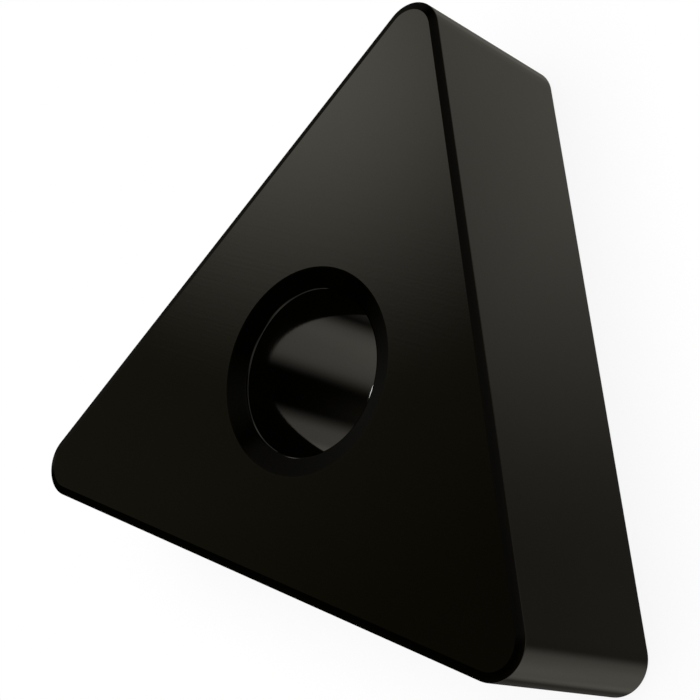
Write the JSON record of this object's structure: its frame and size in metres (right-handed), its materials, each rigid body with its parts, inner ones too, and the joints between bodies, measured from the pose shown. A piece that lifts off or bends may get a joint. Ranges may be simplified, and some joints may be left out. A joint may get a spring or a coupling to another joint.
{
  "type": "indexable turning insert",
  "caption": "Triangular ceramic cutting insert for a lathe tool, with rounded corners, bevelled cutting edges and a countersunk pin hole.",
  "frame": {"origin": "where the axis of the pin hole meets the seat face", "axes": "+Z along the pin hole, from the seat face up to the rake face; +Y from the hole towards one of the cutting corners; +X along the flank opposite that corner"},
  "size_m": [0.0154, 0.0135, 0.0048],
  "materials": {
    "black_ceramic": "near-black sintered ceramic, fine-ground and lightly polished to a satin shine"
  },
  "bodies": {
    "root": {"cutting_insert": "black_ceramic"}
  },
  "joints": []
}
